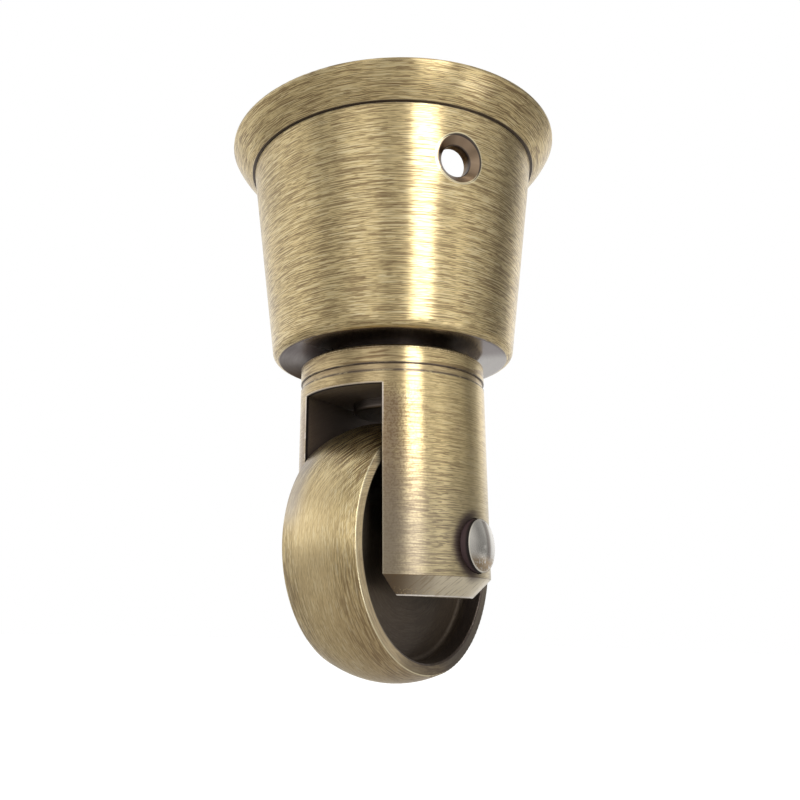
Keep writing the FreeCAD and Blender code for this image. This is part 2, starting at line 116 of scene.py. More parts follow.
class Wiring:
    """Adds nodes to one tree and joins them."""

    def __init__(self, tree):
        self.tree = tree
        self.column = 0

    def node(self, kind, **settings):
        """A new node with its settings, placed right of the last one."""
        made = self.tree.nodes.new(kind)
        made.location = (self.column * 200, 0)
        self.column += 1
        for name, value in settings.items():
            setattr(made, name, value)
        return made

    def feed(self, socket, value):
        """Joins another node's output to a socket, or sets the socket's own value."""
        if isinstance(value, bpy.types.NodeSocket):
            self.tree.links.new(value, socket)
        else:
            socket.default_value = value

    def calc(self, operation, *values):
        """The result of a sum."""
        made = self.node("ShaderNodeMath", operation=operation)
        for socket, value in zip(made.inputs, values):
            self.feed(socket, value)
        return made.outputs[0]

    def vector(self, operation, *values):
        """The result of a sum on vectors."""
        made = self.node("ShaderNodeVectorMath", operation=operation)
        for socket, value in zip(made.inputs, values):
            self.feed(socket, value)
        return made.outputs["Value" if operation in ("DOT_PRODUCT", "LENGTH") else "Vector"]

    def split(self, place):
        """The three parts of a vector."""
        made = self.node("ShaderNodeSeparateXYZ")
        self.feed(made.inputs[0], place)
        return made.outputs[:3]

    def join(self, x, y, z):
        """A vector from three parts."""
        made = self.node("ShaderNodeCombineXYZ")
        for socket, value in zip(made.inputs, (x, y, z)):
            self.feed(socket, value)
        return made.outputs[0]

    def band(self, value, low, high, start=0.0, end=1.0):
        """Goes smoothly from start to end as the value goes from low to high."""
        made = self.node("ShaderNodeMapRange", interpolation_type="SMOOTHSTEP")
        for socket, item in zip(made.inputs, (value, low, high, start, end)):
            self.feed(socket, item)
        return made.outputs[0]

    def stripe(self, value, low, full_low, full_high, high):
        """1 from full_low to full_high, with smooth ends that reach 0 at low and at high."""
        return self.times(self.band(value, low, full_low), self.band(value, high, full_high))

    def noise(self, place, scale, detail=2.0, roughness=0.5):
        """Soft random values round one half."""
        made = self.node("ShaderNodeTexNoise")
        self.feed(made.inputs["Vector"], place)
        self.feed(made.inputs["Scale"], scale)
        self.feed(made.inputs["Detail"], detail)
        self.feed(made.inputs["Roughness"], roughness)
        return made.outputs[0]

    def blend(self, amount, first, second):
        """The first colour where the amount is 0, and the second where it is 1."""
        made = self.node("ShaderNodeMix", data_type="RGBA")
        self.feed(made.inputs[0], amount)
        self.feed(made.inputs[6], first)
        self.feed(made.inputs[7], second)
        return made.outputs[2]

    def times(self, mask, *others):
        """Masks and amounts multiplied with each other."""
        for other in others:
            mask = self.calc("MULTIPLY", mask, other)
        return mask

    def shift(self, mask, change, start):
        """A value that is start where the mask is 0, and start plus change where it is 1."""
        return self.calc("MULTIPLY_ADD", mask, change, start)

    def inverse(self, mask):
        """1 where the mask is 0, and 0 where it is 1."""
        return self.calc("SUBTRACT", 1.0, mask)

    def distance(self, value, middle):
        """How far a value is from a middle one, to either side."""
        return self.calc("ABSOLUTE", self.calc("SUBTRACT", value, middle))

    def bearing(self, place):
        """The angle of a place or a direction to the right of the camera's side, in degrees."""
        ahead = self.vector("DOT_PRODUCT", place, around(0))
        aside = self.vector("DOT_PRODUCT", place, around(90))
        return self.calc("DEGREES", self.calc("ARCTAN2", aside, ahead))


def effect(name, inputs, outputs):
    """An empty shader group with named sockets, and the wiring for it."""
    group = bpy.data.node_groups.new(name, "ShaderNodeTree")
    for word, kind in inputs:
        group.interface.new_socket(word, in_out="INPUT", socket_type=kind)
    for word, kind in outputs:
        group.interface.new_socket(word, in_out="OUTPUT", socket_type=kind)
    wires = Wiring(group)
    start = wires.node("NodeGroupInput")
    return group, wires, start.outputs


def close_effect(wires, **results):
    """Joins a group's results to its outputs."""
    end = wires.node("NodeGroupOutput")
    for word, value in results.items():
        wires.feed(end.inputs[word], value)


def brushed_effect():
    """Brush strokes round a turned piece, whose axis is Z through the given place's origin.

    Strokes are long round the piece and narrow across it, on its walls and on its end faces.
    Place and sizes are in millimetres.
    """
    made = bpy.data.node_groups.get("Brushed round")
    if made:
        return made
    group, wires, given = effect(
        "Brushed round",
        [("Place", "NodeSocketVector"), ("Stroke length", "NodeSocketFloat"),
         ("Stroke width", "NodeSocketFloat"), ("Waver", "NodeSocketFloat")],
        [("Short", "NodeSocketFloat"), ("Long", "NodeSocketFloat"), ("Cloud", "NodeSocketFloat")],
    )
    place = given["Place"]
    x, y, z = wires.split(place)
    out = wires.calc("SQRT", wires.calc("ADD", wires.times(x, x), wires.times(y, y)))
    across = wires.calc("MULTIPLY_ADD", out, 0.6, z)
    layers = []
    for longer, wider, swaying in ((0.6, 0.9, 0.33), (1.9, 1.0, 0.19)):
        sway = wires.calc("SUBTRACT", wires.noise(place, swaying, 1.0), 0.5)
        level = wires.calc("MULTIPLY_ADD", sway, given["Waver"], across)
        length = wires.times(given["Stroke length"], longer)
        width = wires.times(given["Stroke width"], wider)
        parts = ((x, length), (y, length), (level, width))
        stretched = wires.join(*(wires.calc("DIVIDE", part, size) for part, size in parts))
        layers.append(wires.noise(stretched, 1.0, 0.0))
    cloud = wires.noise(place, 0.11, 3.0, 0.6)
    close_effect(wires, Short=layers[0], Long=layers[1], Cloud=cloud)
    return group


def edge_wear_and_shade_effect():
    """Where the metal has an edge, and recesses that ambient occlusion finds in shade. Widths are in
    metres.
    """
    made = bpy.data.node_groups.get("Edges and recesses")
    if made:
        return made
    group, wires, given = effect(
        "Edges and recesses",
        [("Edge width", "NodeSocketFloat"), ("Recess width", "NodeSocketFloat")],
        [("Edge", "NodeSocketFloat"), ("Recess", "NodeSocketFloat")],
    )
    rounded = wires.node("ShaderNodeBevel", samples=6)
    wires.feed(rounded.inputs["Radius"], given["Edge width"])
    plain = wires.node("ShaderNodeNewGeometry")
    likeness = wires.vector("DOT_PRODUCT", rounded.outputs[0], plain.outputs["Normal"])
    edge = wires.band(likeness, 0.99, 0.93)
    shade = wires.node("ShaderNodeAmbientOcclusion", samples=8)
    wires.feed(shade.inputs["Distance"], given["Recess width"])
    # The recess mask is where shade falls; tinted dark, it is painted shade.
    recess = wires.band(shade.outputs["AO"], 0.75, 0.25)
    open_edge = wires.times(edge, wires.band(shade.outputs["AO"], 0.35, 0.6))
    close_effect(wires, Edge=open_edge, Recess=recess)
    return group


class Finish:
    """One metal finish: its material, and the tone, roughness and relief it has come to so far.

    Places and sizes are in millimetres. An operator adds the masks that its own steps share.
    """

    def __init__(self, name, colours):
        old = bpy.data.materials.get(name)
        if old:
            bpy.data.materials.remove(old)
        self.material = bpy.data.materials.new(name)
        self.material.use_nodes = True
        self.material.node_tree.nodes.clear()
        self.wires = Wiring(self.material.node_tree)
        self.colours = colours
        metres = self.wires.node("ShaderNodeTexCoord").outputs["Object"]
        self.place = self.wires.vector("MULTIPLY", metres, [1 / MM] * 3)
        self.x, self.y, self.z = self.wires.split(self.place)
        self.tone = self.rough = self.height = None
        self.metal, self.coat = 1.0, 0.3

    def centred(self, centre, turn):
        """The place from a centre, turned so that the piece's axis lies along Z."""
        moved = self.wires.vector("SUBTRACT", self.place, centre)
        mapping = self.wires.node("ShaderNodeMapping", vector_type="POINT")
        self.wires.feed(mapping.inputs["Vector"], moved)
        self.wires.feed(mapping.inputs["Rotation"], turn)
        return mapping.outputs[0]

    def brushed(self, place, length, width, waver):
        """Short strokes, long strokes and cloud from the brushed effect."""
        made = self.wires.node("ShaderNodeGroup", node_tree=brushed_effect())
        for socket, value in zip(made.inputs, (place, length, width, waver)):
            self.wires.feed(socket, value)
        return made.outputs

    def straight(self, along, across, length, width):
        """Straight strokes that run along one direction, and lie side by side across it."""
        wires = self.wires
        run = wires.calc("DIVIDE", wires.vector("DOT_PRODUCT", self.place, along), length)
        step = wires.calc("DIVIDE", wires.vector("DOT_PRODUCT", self.place, across), width)
        return wires.noise(wires.join(run, step, 0.0), 1.0, 1.0)

    def worn(self, edge_width, recess_width):
        """Edge masks for wear, and recess masks for dark film and painted shade."""
        made = self.wires.node("ShaderNodeGroup", node_tree=edge_wear_and_shade_effect())
        self.wires.feed(made.inputs["Edge width"], edge_width * MM)
        self.wires.feed(made.inputs["Recess width"], recess_width * MM)
        return made.outputs

    def far_from_line(self, point, direction):
        """Distance from a straight line through a point."""
        moved = self.wires.vector("SUBTRACT", self.place, point)
        return self.wires.vector("LENGTH", self.wires.vector("CROSS_PRODUCT", moved, direction))

    def round_tangent(self, point, direction):
        """The way round a line at each place, in world space."""
        moved = self.wires.vector("SUBTRACT", self.place, point)
        way_round = self.wires.vector("CROSS_PRODUCT", direction, moved)
        carried = self.wires.node(
            "ShaderNodeVectorTransform", vector_type="VECTOR", convert_from="OBJECT", convert_to="WORLD")
        self.wires.feed(carried.inputs[0], way_round)
        return self.wires.vector("NORMALIZE", carried.outputs[0])

    def brush(self, place, *, length, width, waver, stain, long, short, glint, rough):
        """Starts as brushed antique brass, before any special places.

        Length, width and waver are the strokes' sizes. Stain, long, short and glint say how strong
        the clouds, the long and short dark strokes and the bright gaps are; the bright gaps are bare
        brass, lightened further as painted glints.
        """
        wires, colours = self.wires, self.colours
        strokes = self.brushed(place, length, width, waver)
        cloud = strokes["Cloud"]
        filmed = wires.band(cloud, 0.25, 0.80, 0.1, 0.8)
        self.tone = wires.blend(filmed, rgba(colours.gold), rgba(colours.olive))
        self.tint(colours.brown, wires.band(cloud, 0.50, 0.72), stain)
        self.tint(colours.umber, wires.band(strokes["Long"], 0.54, 0.61), long)
        self.tint(colours.umber, wires.band(strokes["Short"], 0.56, 0.64), short)
        both = wires.calc("MULTIPLY_ADD", strokes["Long"], 1.3, wires.times(strokes["Short"], 0.7))
        # Bright gaps between the strokes: bare brass, lightened as painted glints.
        self.tint(colours.bright, wires.band(both, 0.86, 0.66), glint)
        self.rough = wires.shift(both, 0.10, rough)
        self.height = wires.inverse(both)

    def tint(self, colour, *masks):
        """Lays a colour over the tone, as strongly as the masks and amounts multiplied say."""
        self.tone = self.wires.blend(self.wires.times(*masks), self.tone, rgba(colour))

    def roughen(self, mask, change):
        """Changes the roughness where the mask is."""
        self.rough = self.wires.shift(mask, change, self.rough)

    def shade(self, depth, strength, anisotropy=0.0, tangent=None):
        """The metal's shader, with its strokes as relief of a depth and a strength."""
        wires = self.wires
        shader = wires.node("ShaderNodeBsdfPrincipled")
        relief = wires.node("ShaderNodeBump")
        wires.feed(relief.inputs["Strength"], strength)
        wires.feed(relief.inputs["Distance"], depth * MM)
        wires.feed(relief.inputs["Height"], self.height)
        inputs = (("Base Color", self.tone), ("Metallic", self.metal), ("Roughness", self.rough),
                  ("Normal", relief.outputs[0]), ("Coat Weight", self.coat))
        for word, value in inputs:
            wires.feed(shader.inputs[word], value)
        shader.inputs["Coat Roughness"].default_value = COAT_ROUGHNESS
        if tangent is not None:
            shader.inputs["Anisotropic"].default_value = anisotropy
            shader.inputs["Anisotropic Rotation"].default_value = QUARTER_TURN
            wires.feed(shader.inputs["Tangent"], tangent)
        end = wires.node("ShaderNodeOutputMaterial")
        wires.feed(end.inputs["Surface"], shader.outputs[0])

    def give(self, *nodes):
        """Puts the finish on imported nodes."""
        for name in nodes:
            slots = frame["nodes"][name].material_slots
            for slot in slots:
                slot.material = self.material
            if not slots:
                frame["nodes"][name].data.materials.append(self.material)


def colour_setting(name, description, default):
    """A colour that the sidebar shows."""
    return bpy.props.FloatVectorProperty(
        name=name, description=description, subtype="COLOR", size=3, min=0, max=1, default=default)


class CastorColours(bpy.types.PropertyGroup):
    """Colours of the metal, of the films on it, and of the light and shade painted on it."""

    gold: colour_setting("Brushed gold", "Bare brass between the strokes", (0.80, 0.63, 0.32))
    olive: colour_setting("Olive", "Brass with a thin film on it", (0.66, 0.53, 0.27))
    # Worn edges, and also painted glints between the strokes and a painted highlight on the wheel rim's
    # edge.
    bright: colour_setting("Worn edge", "Brass rubbed bright on its edges", (0.93, 0.84, 0.58))
    # Clouds and darkened brass; low on the wheel's tread it is painted shade.
    brown: colour_setting("Brown film", "Darkened brass in clouds and low down", (0.40, 0.28, 0.15))
    umber: colour_setting("Umber", "Darkened brass left in the strokes", (0.21, 0.130, 0.060))
    # Brass that no brush reached, and painted shade: in recesses, under the flange, in the countersinks,
    # on the groove's edges, in the slot and on the wheel's right shoulder.
    dark: colour_setting("Dark", "Brass that no brush reached", (0.085, 0.066, 0.058))
    sepia: colour_setting("Sepia", "Smooth brown film that no brush has crossed", (0.33, 0.235, 0.155))
    # Also a painted grey reflection high on the wheel's tread.
    greyed: colour_setting("Greyed brass", "Brass with a pale grey film on it", (0.62, 0.56, 0.50))
    # Dark mauve film round the axle, also used as painted shade there and on the axle's head, and as the
    # horn's painted reflection under the cup.
    patina_and_shade: colour_setting("Patina", "Dark mauve film round the axle", (0.085, 0.052, 0.055))
    film: colour_setting("Cup grey", "Even grey film on the cup's underside", (0.37, 0.352, 0.342))
    # Painted reflection: brown on the left of the cup's underside.
    cup_brown: colour_setting("Cup brown", "Film on the left of the underside", (0.115, 0.062, 0.026))
    # Painted shade low on the ears, beside the slot.
    ear_brown: colour_setting("Ear brown", "Film on the ears, beside the slot", (0.28, 0.20, 0.135))
    # Painted shade over the horn's lower half.
    ear_olive: colour_setting("Ear olive", "Film over the horn's lower half", (0.36, 0.345, 0.27))
    # Cut brass, and a painted highlight on the near ear's chamfer.
    cut: colour_setting("Cut brass", "Chamfer at the horn's foot", (1.0, 0.91, 0.71))
    # Painted shade on the chamfer's left end.
    cut_brown: colour_setting("Chamfer brown", "Film on the chamfer's left end", (0.15, 0.10, 0.055))
    # Painted highlight on the sharp edge round the horn's foot.
    arris: colour_setting("Arris", "Sharp edge round the horn's foot", (1.0, 0.95, 0.88))
    # Painted shade just inside the slot.
    slot_mouth: colour_setting("Slot mouth", "Black film just inside the slot", (0.02, 0.015, 0.015))
    # Painted highlight on the small chamfers along the slot.
    slot_lip: colour_setting("Slot lip", "Small chamfers along the slot", (1.0, 0.92, 0.86))
    # Painted glints along the wheel's crossing strokes.
    crossed: colour_setting("Crossing shine", "Bright crossing strokes of the wheel", (1.0, 0.85, 0.50))
    # Painted light in the middle of the tread.
    tread: colour_setting("Tread shine", "Clean brass in the middle of the tread", (1.0, 0.80, 0.46))
    rim_gold: colour_setting("Rim gold", "Gold film on the left of the rim's face", (0.62, 0.49, 0.28))
    # Painted shade at the foot of the rim's face.
    rim_foot_shade: colour_setting("Soil", "Dirt at the foot of the rim's face", (0.014, 0.008, 0.004))
    disc: colour_setting("Disc", "Clean brass of the axle's head", (0.92, 0.89, 0.82))
    disc_grey: colour_setting("Disc grey", "Clouds on the axle's head", (0.76, 0.73, 0.68))
    # Painted reflection on the right of the axle's head.
    disc_right: colour_setting("Disc right", "Right part of the axle's head", (0.68, 0.67, 0.65))
    # Painted reflection: a dark band down the axle's head.
    disc_band: colour_setting("Disc band", "Dark band down the axle's head", (0.26, 0.22, 0.19))
    disc_specks: colour_setting("Disc specks", "Brown specks on the axle's head", (0.34, 0.23, 0.11))
    # Painted highlight on the rim of the axle's head.
    disc_rim: colour_setting("Disc rim", "Bright rim of the axle's head", (1.0, 0.95, 0.84))
    # Painted shade on the side of the axle's head.
    disc_side: colour_setting("Disc side", "Dark side of the axle's head", (0.012, 0.008, 0.008))
    # Painted shade: the king pin's head and the thrust washer, below the cup.
    steel: colour_setting("Steel", "King pin's head and thrust washer", (0.20, 0.17, 0.15))
    # Steel inside the cup, without painted shade.
    unshaded_steel: colour_setting("Clean steel", "Pin and washer inside the cup", (0.46, 0.44, 0.41))


class CastorStage(bpy.types.PropertyGroup):
    """Camera, lamps and floor."""

    lens: bpy.props.FloatProperty(
        name="Lens", description="Focal length on a 36 mm sensor", default=37.4975, min=10, max=200)
    camera_place: bpy.props.FloatVectorProperty(
        name="Camera place", description="Where the camera stands",
        subtype="TRANSLATION", unit="LENGTH", size=3, default=(-0.105755, -0.073733, -0.076251))
    camera_turn: bpy.props.FloatVectorProperty(
        name="Camera turn", description="How the camera is turned", subtype="EULER", size=3,
        default=(math.radians(106.4656), math.radians(-1.2972), math.radians(-49.6669)))
    camera_shift: bpy.props.FloatVectorProperty(
        name="Camera shift", description="Lens shift that frames the castor",
        size=2, default=(0.11278, -0.04335))
    key_power: bpy.props.FloatProperty(
        name="Key lamp", description="Power of the tall soft lamp", unit="POWER", default=1.18, min=0)
    low_power: bpy.props.FloatProperty(
        name="Low lamp", description="Power of the small low lamp", unit="POWER", default=0.12, min=0)
    floor_drop: bpy.props.FloatProperty(
        name="Floor drop", description="Floor below the wheel of the held castor",
        unit="LENGTH", default=0.12, min=0)
    floor_colour: colour_setting("Floor", "Colour of the floor", (0.62, 0.61, 0.60))


class CASTOR_OT_cup(bpy.types.Operator):
    """Finish the cup: brushed wall and flange, brown countersinks and filmed underside, both with
    painted shade, dull inside
    """

    bl_idname = "castor.finish_cup"
    bl_label = "Finish Cup"

    def execute(self, context):
        finish = Finish("Cup brass", context.scene.castor_colours)
        self.strokes(finish)
        self.edges(finish)
        for name in ("screw_hole_near", "screw_hole_far"):
            self.countersink(finish, *mount_line(name))
        self.underside(finish)
        self.inside(finish)
        finish.shade(
            depth=0.02, strength=0.35, anisotropy=0.88, tangent=finish.round_tangent(*SWIVEL_LINE))
        finish.give("cup")
        return {"FINISHED"}

    def strokes(self, finish):
        """Fine strokes on the wall, wavier on the flange's side, and faint on the lip."""
        wires = finish.wires
        on_flange = wires.band(finish.z, FLANGE_FOOT - 0.1, FLANGE_FOOT + 0.1)
        on_lip = wires.band(finish.z, CUP_MOUTH - 0.30, CUP_MOUTH - 0.10)
        on_side = wires.times(on_flange, wires.inverse(on_lip))
        finish.brush(
            finish.place, length=wires.shift(on_flange, 0.8, 2.4),
            width=wires.shift(on_flange, -0.020, 0.130), waver=wires.shift(on_side, 0.50, 0.14),
            stain=0.10, long=wires.shift(on_lip, -0.42, wires.shift(on_side, 0.10, 0.64)),
            short=wires.shift(on_lip, -0.35, wires.shift(on_side, 0.15, 0.54)), glint=0.35, rough=0.24)

    def edges(self, finish):
        """Bright worn edges, dark recesses partly painted as shade, and a painted shadow under the
        flange.
        """
        colours = finish.colours
        wear = finish.worn(edge_width=0.35, recess_width=2.0)
        finish.tint(colours.bright, wear["Edge"], 0.55)
        # Dark film in the recesses, deepened as painted shade by the ambient occlusion mask.
        finish.tint(colours.dark, wear["Recess"], 0.8)
        # Painted shadow: a dark line under the flange's step, with dark film in its corner.
        line = finish.wires.stripe(
            finish.z, FLANGE_FOOT - 0.15, FLANGE_FOOT - 0.09, FLANGE_FOOT + 0.02, FLANGE_FOOT + 0.06)
        finish.tint(colours.dark, line, 0.95)

    def countersink(self, finish, point, direction):
        """A smooth brown countersink with a bright rim, painted shade on one side of its lip and in its
        bore.
        """
        wires, colours, x, y = finish.wires, finish.colours, finish.x, finish.y
        far = finish.far_from_line(point, direction)
        outward = wires.calc("ADD", wires.times(x, direction.x), wires.times(y, direction.y))
        outer = wires.band(outward, 10.0, 12.0)
        finish.tint(colours.bright, wires.band(far, SINK_RADIUS + 0.35, SINK_RADIUS + 0.20), outer, 0.6)
        finish.tint(colours.sepia, wires.band(far, SINK_RADIUS - 0.04, SINK_RADIUS - 0.14), outer)
        # Painted shade: the lip's inner wall, dark on one side only.
        rise = wires.calc("SUBTRACT", finish.z, point.z)
        aside = wires.calc("ADD", wires.times(x, -direction.y), wires.times(y, direction.x))
        inner = wires.band(
            wires.calc("ADD", rise, aside), -1.5, 4.5, SINK_RADIUS + 0.04, SINK_RADIUS - 0.28)
        lip = wires.band(wires.calc("SUBTRACT", far, inner), 0.0, 0.06)
        ended = wires.band(far, SINK_RADIUS + 0.14, SINK_RADIUS + 0.06)
        finish.tint(colours.dark, lip, outer, ended, 0.97)
        # Painted shade: the bore, darker the deeper it goes.
        depth = wires.vector("DOT_PRODUCT", wires.vector("SUBTRACT", finish.place, point), direction)
        bore = wires.band(far, BORE_RADIUS + 0.16, BORE_RADIUS + 0.06)
        finish.tint(colours.dark, bore, outer, wires.band(depth, -0.10, 0.50, 0.35, 1.0), 0.95)

    def underside(self, finish):
        """An even grey film, with painted reflections: brown on the left, and a dark sector towards the
        camera.
        """
        wires, colours = finish.wires, finish.colours
        under = wires.band(finish.z, CUP_FOOT + 0.06, CUP_FOOT + 0.01)
        finish.tint(colours.film, under, 0.97)
        turn = wires.bearing(finish.place)
        # Painted reflection: brown on the left of the underside.
        left = wires.times(wires.band(turn, -75, -125, 0.45, 0.96), wires.band(turn, -45, -70))
        left = wires.calc("MAXIMUM", left, wires.band(turn, 145, 180, 0.0, 0.96))
        finish.tint(colours.cup_brown, under, left)
        # Painted reflection of the horn: a dark sector towards the camera.
        finish.tint(colours.patina_and_shade, under, wires.stripe(turn, -115, -60, 62, 78), 0.80)
        finish.roughen(under, wires.shift(left, 0.74, -0.20))
        finish.coat = wires.shift(wires.times(under, left), -0.45, 0.45)
        finish.height = wires.times(finish.height, wires.inverse(under))

    def inside(self, finish):
        """A brown film inside the socket."""
        wires = finish.wires
        skin = wires.shift(finish.z, SKIN_SLOPE, SKIN_RADIUS)
        within = wires.calc("LESS_THAN", finish.far_from_line(*SWIVEL_LINE), skin)
        above = wires.band(finish.z, CUP_FOOT + 1.5, CUP_FOOT + 2.0)
        finish.tint(finish.colours.brown, within, above, 0.55)


class CASTOR_OT_horn(bpy.types.Operator):
    """Finish the horn: brushed outside, painted highlights on its arrises, dark slot and dark film round
    the axle with painted shade
    """

    bl_idname = "castor.finish_horn"
    bl_label = "Finish Horn"

    def execute(self, context):
        finish = Finish("Horn brass", context.scene.castor_colours)
        wires = finish.wires
        finish.away = wires.calc("ABSOLUTE", finish.y)
        finish.radius = finish.far_from_line(*SWIVEL_LINE)
        finish.blotch = wires.noise(finish.place, 0.42, 3.0, 0.6)
        finish.grains = wires.noise(finish.place, 3.4, 0.0)
        self.strokes(finish)
        self.films(finish)
        self.top(finish)
        self.edges(finish)
        self.ring_groove(finish)
        self.chamfer(finish)
        self.arris(finish)
        self.slot(finish)
        self.slot_lips(finish)
        self.round_axle(finish)
        finish.shade(
            depth=0.02, strength=0.3, anisotropy=0.88, tangent=finish.round_tangent(*SWIVEL_LINE))
        finish.give("horn")
        return {"FINISHED"}

    def strokes(self, finish):
        """Strokes that grow coarser downwards on the left."""
        wires = finish.wires
        lower = wires.band(finish.z, SLOT_ROOF, HORN_FOOT + 8, 0.3, 1.0)
        coarse = wires.times(lower, wires.band(finish.x, -1, -6))
        finish.brush(
            finish.place, length=2.2, width=0.13, waver=0.3, stain=0.12,
            long=wires.shift(coarse, 0.48, 0.26), short=wires.shift(coarse, 0.53, 0.24),
            glint=0.15, rough=0.22)

    def films(self, finish):
        """Brown films and specks beside the slot, and painted shade low down, darker and greyer."""
        wires, colours, away, z = finish.wires, finish.colours, finish.away, finish.z
        beside = wires.calc("ADD", wires.band(away, 10.5, 7.5, 0.0, 0.75), finish.blotch)
        lower = wires.band(z, SLOT_ROOF, SLOT_ROOF - 3, 0.35, 1.0)
        finish.tint(colours.sepia, wires.band(beside, 0.45, 1.15), lower, 0.80)
        # Painted shade: darker and greyer low on the horn, where the lamp's highlight fades.
        low = wires.band(z, HORN_FOOT + 24, HORN_FOOT + 7)
        finish.tint(colours.ear_brown, low, wires.band(away, 13.2, 10.0), 0.60)
        specks = wires.times(wires.band(finish.grains, 0.50, 0.60), wires.band(away, 13.4, 9.0))
        finish.tint(colours.umber, specks, wires.band(z, SLOT_ROOF + 2, SLOT_ROOF - 2), 0.50)
        finish.tint(colours.ear_olive, low, 0.36)
        finish.roughen(low, 0.13)

    def top(self, finish):
        """Umber patches above the groove, and a specked top edge."""
        wires, umber = finish.wires, finish.colours.umber
        above = wires.band(finish.z, GROOVE_TOP - 0.1, GROOVE_TOP + 0.1)
        patches = finish.brushed(finish.place, length=3.0, width=0.55, waver=0.9)["Long"]
        finish.tint(umber, above, wires.band(patches, 0.50, 0.62), 0.70)
        edge = wires.band(finish.z, HORN_TOP - 0.9, HORN_TOP - 0.2)
        finish.tint(umber, edge, wires.band(finish.grains, 0.46, 0.58), 0.75)

    def edges(self, finish):
        """Dark recesses, partly painted shade, and bright edges."""
        wear = finish.worn(edge_width=0.25, recess_width=1.2)
        finish.tint(finish.colours.dark, wear["Recess"], 0.75)
        finish.tint(finish.colours.bright, wear["Edge"], 0.5)

    def ring_groove(self, finish):
        """Painted shade as a ragged dark line on each edge of the groove, and a brown film in it."""
        wires, colours, z = finish.wires, finish.colours, finish.z
        # Painted shade: the upper line a shadow, the lower one a dark reflection.
        for level, thick, faintest in ((GROOVE_TOP, 0.17, 0.45), (GROOVE_FOOT, 0.34, 0.30)):
            line = wires.band(wires.distance(z, level), thick, 0.06)
            finish.tint(colours.dark, line, wires.band(finish.blotch, 0.36, 0.52, faintest, 0.92))
        groove = wires.stripe(
            z, GROOVE_FOOT - 0.05, GROOVE_FOOT + 0.05, GROOVE_TOP - 0.05, GROOVE_TOP + 0.05)
        finish.tint(colours.sepia, groove, 0.35)

    def chamfer(self, finish):
        """Pale cut brass with slanted scratches, painted paler as a highlight on the near ear, and
        painted brown shade at its left end, with specks.
        """
        wires, colours, z = finish.wires, finish.colours, finish.z
        finish.cut_end = cut_end = wires.band(z, CHAMFER_TOP + 0.05, CHAMFER_TOP - 0.05)
        finish.near_ear = wires.band(finish.y, 1, -1, 0.30, 1.0)
        foot_face = wires.band(z, HORN_FOOT + 0.06, HORN_FOOT + 0.01)
        # Pale cut brass, strongest on the near ear: partly the cut, partly a painted highlight.
        finish.tint(colours.cut, cut_end, finish.near_ear, wires.shift(foot_face, -0.60, 0.85))
        rightward = wires.vector("DOT_PRODUCT", finish.place, around(90))
        # Painted shade: brown towards the chamfer's left end.
        finish.tint(colours.cut_brown, cut_end, wires.band(rightward, 9.5, -1.5, 0.0, 0.97))
        specks = wires.times(cut_end, wires.band(finish.grains, 0.62, 0.70))
        finish.tint(colours.gold, specks, wires.band(z, HORN_FOOT + 1.4, HORN_FOOT + 0.3), 0.35)
        slanted = finish.straight(around(90, 40), around(90, -50), length=3.0, width=0.22)
        finish.tint(colours.umber, wires.band(slanted, 0.52, 0.70), cut_end, 0.40)
        line = wires.stripe(z, CHAMFER_TOP - 0.12, CHAMFER_TOP - 0.04, CHAMFER_TOP, CHAMFER_TOP + 0.08)
        finish.tint(colours.umber, line, 0.55)

    def arris(self, finish):
        """Painted highlights on the bright edges of the chamfer, round the horn's foot and along the
        slot.
        """
        wires = finish.wires
        at_foot = wires.times(wires.band(finish.z, HORN_FOOT + 0.22, HORN_FOOT + 0.10), finish.near_ear,
                              wires.band(finish.radius, CHAMFER_RADIUS - 0.28, CHAMFER_RADIUS - 0.14),
                              wires.band(finish.blotch, 0.30, 0.50, 0.4, 0.95))
        at_slot = wires.times(finish.cut_end, wires.band(finish.x, 1, 4),
                              wires.band(finish.away, SLOT_SIDE + 0.34, SLOT_SIDE + 0.20))
        finish.tint(finish.colours.arris, wires.calc("MAXIMUM", at_foot, at_slot))

    def slot(self, finish):
        """Dark and rough inside the slot, deepened as painted shade further in, and black painted shade
        just inside its mouth.
        """
        wires, colours = finish.wires, finish.colours
        slot = wires.times(wires.band(finish.away, SLOT_SIDE + 0.10, SLOT_SIDE + 0.02),
                           wires.band(finish.z, SLOT_ROOF + 0.12, SLOT_ROOF + 0.02))
        # Painted shade: darker further into the slot, over unbrushed brass.
        deep = wires.band(wires.calc("ABSOLUTE", finish.x), 13.5, 8.0, 0.80, 0.95)
        finish.tint(colours.dark, slot, deep)
        # Painted shade: black just inside the slot's mouth.
        mouth = wires.stripe(finish.radius, HORN_RADIUS - 0.65, HORN_RADIUS - 0.45,
                             HORN_RADIUS - 0.15, HORN_RADIUS - 0.05)
        finish.tint(colours.slot_mouth, slot, mouth)
        finish.roughen(slot, 0.18)
        finish.metal = wires.shift(slot, -0.6, 1.0)

